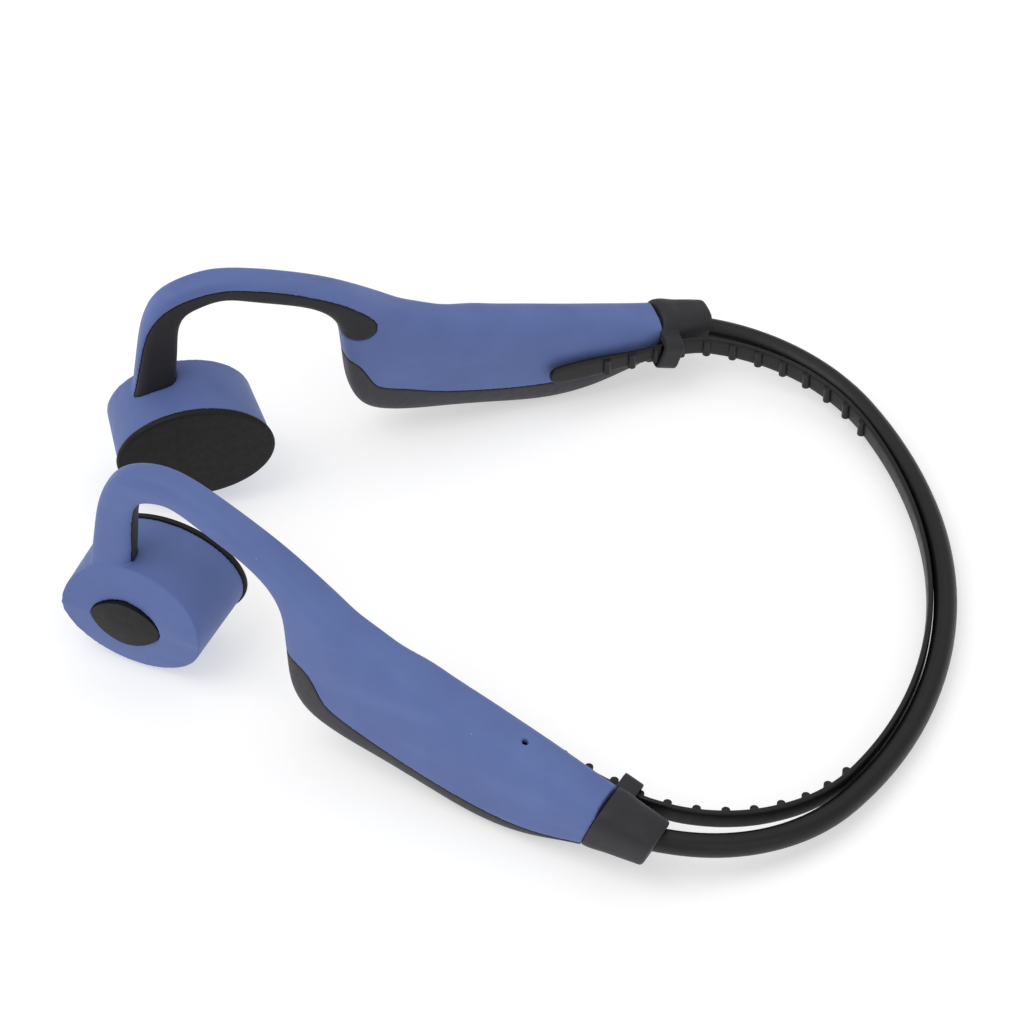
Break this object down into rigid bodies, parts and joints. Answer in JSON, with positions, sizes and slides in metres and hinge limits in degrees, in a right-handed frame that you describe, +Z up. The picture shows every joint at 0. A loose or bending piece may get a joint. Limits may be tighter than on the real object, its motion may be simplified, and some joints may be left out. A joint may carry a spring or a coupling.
{
  "type": "bone conduction headphones",
  "caption": "Open-ear headphones: a thin neckband with a ribbed adjusting strap, over-ear hooks, arm compartments and pods that press skin pads on the cheekbones.",
  "frame": {"origin": "middle of the footprint, on the table", "axes": "+Z up, -Y the wearer's front where the pods are, +X the wearer's left; the two sides mirror about X = 0"},
  "size_m": [0.1268, 0.1457, 0.0433],
  "materials": {
    "band_black": "satin tube",
    "strap_black": "satin, ribbed on the neck side",
    "soft_blue": "matte soft-touch silicone",
    "cover_grey": "fine matte",
    "inlay_charcoal": "matte soft-touch",
    "sleeve_charcoal": "matte soft-touch",
    "pad_black": "matte skin contact pad",
    "button_black": "satin",
    "inner_plastic": "moulded",
    "yoke_steel": "plated",
    "magnet_chrome": "nickel plated",
    "coil_copper": "enamelled winding",
    "spring_wire": "drawn",
    "cable": "sheathed",
    "circuit_board": "solder mask",
    "battery_wrap": "film wrap",
    "switch_body": "moulded",
    "chip_black": "moulded",
    "contact_gold": "gold plated"
  },
  "bodies": {
    "neckband": {"neckband_tube": "band_black", "neckband_wire": "spring_wire", "neckband_cable": "cable", "strap_band": "strap_black"},
    "left_arm": {"left_arm_housing": "soft_blue", "left_bottom_cover": "cover_grey", "left_hook_inlay": "inlay_charcoal", "left_hook_wire": "spring_wire", "left_signal_leads": "cable", "left_end_sleeve": "sleeve_charcoal", "left_pod_housing": "soft_blue", "left_skin_pad": "pad_black", "left_driver_frame": "inner_plastic", "left_magnet_yoke": "yoke_steel", "left_magnet": "magnet_chrome", "left_voice_coil": "coil_copper", "left_drive_plate": "yoke_steel", "function_switch": "switch_body", "switch_board": "circuit_board", "battery": "battery_wrap", "microphone": "switch_body", "mic_board": "circuit_board"},
    "right_arm": {"right_arm_housing": "soft_blue", "right_bottom_cover": "cover_grey", "right_hook_inlay": "inlay_charcoal", "right_hook_wire": "spring_wire", "right_signal_leads": "cable", "right_end_sleeve": "sleeve_charcoal", "right_pod_housing": "soft_blue", "right_skin_pad": "pad_black", "right_driver_frame": "inner_plastic", "right_magnet_yoke": "yoke_steel", "right_magnet": "magnet_chrome", "right_voice_coil": "coil_copper", "right_drive_plate": "yoke_steel", "main_board": "circuit_board", "bluetooth_chip": "chip_black", "volume_board": "circuit_board", "volume_up_switch": "switch_body", "volume_down_switch": "switch_body", "charging_pin_front": "contact_gold", "charging_pin_rear": "contact_gold"},
    "left_strap_tail": {"left_strap_tail": "strap_black"},
    "right_strap_tail": {"right_strap_tail": "strap_black"},
    "function_button": {"function_button": "button_black"},
    "volume_up_button": {"volume_up_button": "button_black"},
    "volume_down_button": {"volume_down_button": "button_black"}
  },
  "joints": [
    {"name": "left_band_flex", "type": "hinge", "parent": "neckband", "child": "left_arm", "pos_m": [0.02, 0.067, 0.0032], "axis": [0, 0, 1], "range_deg": [-2.5, 18], "stiffness_Nm_per_rad": 0.6, "deforming": ["neckband_tube", "neckband_wire", "neckband_cable", "strap_band"]},
    {"name": "right_band_flex", "type": "hinge", "parent": "neckband", "child": "right_arm", "pos_m": [-0.02, 0.067, 0.0032], "axis": [0, 0, -1], "range_deg": [-2.5, 18], "stiffness_Nm_per_rad": 0.6, "deforming": ["neckband_tube", "neckband_wire", "neckband_cable", "strap_band"]},
    {"name": "left_strap_slide", "type": "slide", "parent": "left_arm", "child": "left_strap_tail", "axis": [-0.413, -0.9096, 0.0455], "range_m": [0, 0.0094], "deforming": ["strap_band"]},
    {"name": "right_strap_slide", "type": "slide", "parent": "right_arm", "child": "right_strap_tail", "axis": [0.413, -0.9096, 0.0455], "range_m": [0, 0.0094], "deforming": ["strap_band"]},
    {"name": "function_button_press", "type": "slide", "parent": "left_arm", "child": "function_button", "axis": [-0.9539, 0.3, 0], "range_m": [0, 0.0004], "stiffness_N_per_m": 900, "springref_m": -0.0003},
    {"name": "volume_up_press", "type": "slide", "parent": "right_arm", "child": "volume_up_button", "axis": [-0.0789, 0.1737, 0.9816], "range_m": [0, 0.00035], "stiffness_N_per_m": 900, "springref_m": -0.0003},
    {"name": "volume_down_press", "type": "slide", "parent": "right_arm", "child": "volume_down_button", "axis": [-0.0789, 0.1737, 0.9816], "range_m": [0, 0.00035], "stiffness_N_per_m": 900, "springref_m": -0.0003}
  ]
}
